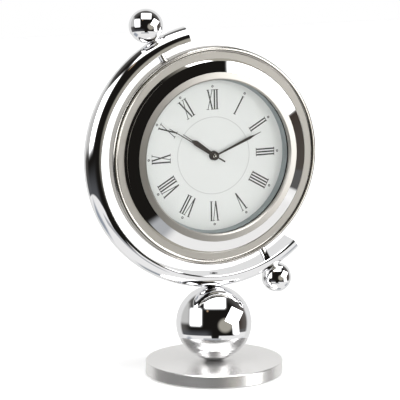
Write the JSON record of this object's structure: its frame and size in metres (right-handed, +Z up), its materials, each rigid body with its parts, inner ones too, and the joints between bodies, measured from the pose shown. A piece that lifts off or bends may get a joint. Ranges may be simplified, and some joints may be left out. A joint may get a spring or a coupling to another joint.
{
  "type": "mantel clock",
  "caption": "Round quartz clock head that spins on a tilted axis inside an open polished arc, on a ball and a round base.",
  "frame": {"origin": "centre of the underside of the base, on the surface that the clock stands on", "axes": "+Z up, the dial faces -Y, +X to the right of someone who reads the dial"},
  "size_m": [0.1436, 0.0816, 0.2195],
  "materials": {
    "chrome": "polished",
    "mirror": "polished",
    "satin_nickel": "satin",
    "brushed_base": "brushed",
    "felt": "matte",
    "steel_screw": "satin",
    "pivot_steel": "polished",
    "bush_metal": "satin",
    "lens_glass": "polished",
    "gasket_rubber": "matte",
    "dial_white": "matte",
    "plate_metal": "satin",
    "cover_metal": "satin",
    "case_black": "matte",
    "board_green": "matte",
    "crystal_can": "satin",
    "copper_wire": "satin",
    "soft_iron": "satin",
    "battery_jacket": "gloss",
    "contact_metal": "satin",
    "gear_plastic": "satin",
    "hand_brown": "satin",
    "rotor_magnet": "satin",
    "knob_plastic": "matte"
  },
  "bodies": {
    "stand": {"base_plate": "brushed_base", "base_felt": "felt", "base_screw": "steel_screw", "stand_ball": "chrome", "meridian_arc": "chrome", "arc_screw": "steel_screw", "top_finial": "chrome", "bottom_finial": "chrome", "top_pivot_pin": "pivot_steel", "bottom_pivot_pin": "pivot_steel"},
    "head": {"case_drum": "satin_nickel", "mirror_ring": "mirror", "inner_bezel": "satin_nickel", "dial_surround": "satin_nickel", "lens": "lens_glass", "lens_gasket": "gasket_rubber", "dial": "dial_white", "dial_plate": "plate_metal", "top_bush": "bush_metal", "bottom_bush": "bush_metal", "rear_cover": "cover_metal", "rear_cover_screws": "steel_screw", "movement_front_case": "case_black", "movement_rear_case": "case_black", "movement_screws": "steel_screw", "circuit_board": "board_green", "quartz_crystal": "crystal_can", "coil_winding": "copper_wire", "coil_core": "soft_iron", "stator": "soft_iron", "battery": "battery_jacket", "contact_positive": "contact_metal", "contact_negative": "contact_metal"},
    "hour_set": {"hour_wheel": "gear_plastic", "hour_hand": "hand_brown"},
    "minute_set": {"cannon_pinion": "gear_plastic", "minute_hand": "hand_brown"},
    "second_set": {"second_wheel": "gear_plastic", "second_hand": "hand_brown"},
    "centre_gear": {"centre_wheel": "gear_plastic"},
    "third_gear": {"third_wheel": "gear_plastic"},
    "intermediate_gear": {"intermediate_wheel": "gear_plastic"},
    "rotor": {"rotor": "rotor_magnet"},
    "motion_gear": {"motion_wheel": "gear_plastic"},
    "knob": {"setting_knob": "knob_plastic"}
  },
  "joints": [
    {"name": "head_spin", "type": "hinge", "parent": "stand", "child": "head", "pos_m": [0, 0, 0.1313], "axis": [-0.4617, 0, 0.887], "continuous": true},
    {"name": "knob_spin", "type": "hinge", "parent": "head", "child": "knob", "pos_m": [0.01318, 0.0012, 0.14142], "axis": [-0.065, 0.9973, -0.0338], "continuous": true},
    {"name": "motion_spin", "type": "hinge", "parent": "head", "child": "motion_gear", "pos_m": [0.00725, 0.00061, 0.13549], "axis": [-0.065, 0.9973, -0.0338], "continuous": true},
    {"name": "minute_spin", "type": "hinge", "parent": "head", "child": "minute_set", "pos_m": [0, 0, 0.1313], "axis": [-0.065, 0.9973, -0.0338], "continuous": true},
    {"name": "hour_spin", "type": "hinge", "parent": "head", "child": "hour_set", "pos_m": [0, 0, 0.1313], "axis": [-0.065, 0.9973, -0.0338], "continuous": true},
    {"name": "second_spin", "type": "hinge", "parent": "head", "child": "second_set", "pos_m": [0, 0, 0.1313], "axis": [-0.065, 0.9973, -0.0338], "continuous": true},
    {"name": "intermediate_spin", "type": "hinge", "parent": "head", "child": "intermediate_gear", "pos_m": [-0.00153, 0.00019, 0.13991], "axis": [-0.065, 0.9973, -0.0338], "continuous": true},
    {"name": "rotor_spin", "type": "hinge", "parent": "head", "child": "rotor", "pos_m": [-0.00153, 0.00046, 0.14783], "axis": [-0.065, 0.9973, -0.0338], "continuous": true},
    {"name": "third_spin", "type": "hinge", "parent": "head", "child": "third_gear", "pos_m": [-0.00822, -0.00037, 0.13606], "axis": [-0.065, 0.9973, -0.0338], "continuous": true},
    {"name": "centre_spin", "type": "hinge", "parent": "head", "child": "centre_gear", "pos_m": [0, 0, 0.1313], "axis": [-0.065, 0.9973, -0.0338], "continuous": true}
  ],
  "couplings": [
    {"joint": "motion_spin", "follows": "knob_spin", "ratio": -0.33333},
    {"joint": "minute_spin", "follows": "knob_spin", "ratio": 1},
    {"joint": "hour_spin", "follows": "knob_spin", "ratio": 0.083333},
    {"joint": "intermediate_spin", "follows": "second_spin", "ratio": -6},
    {"joint": "rotor_spin", "follows": "second_spin", "ratio": 30},
    {"joint": "third_spin", "follows": "second_spin", "ratio": -0.13333},
    {"joint": "centre_spin", "follows": "second_spin", "ratio": 0.016667}
  ]
}
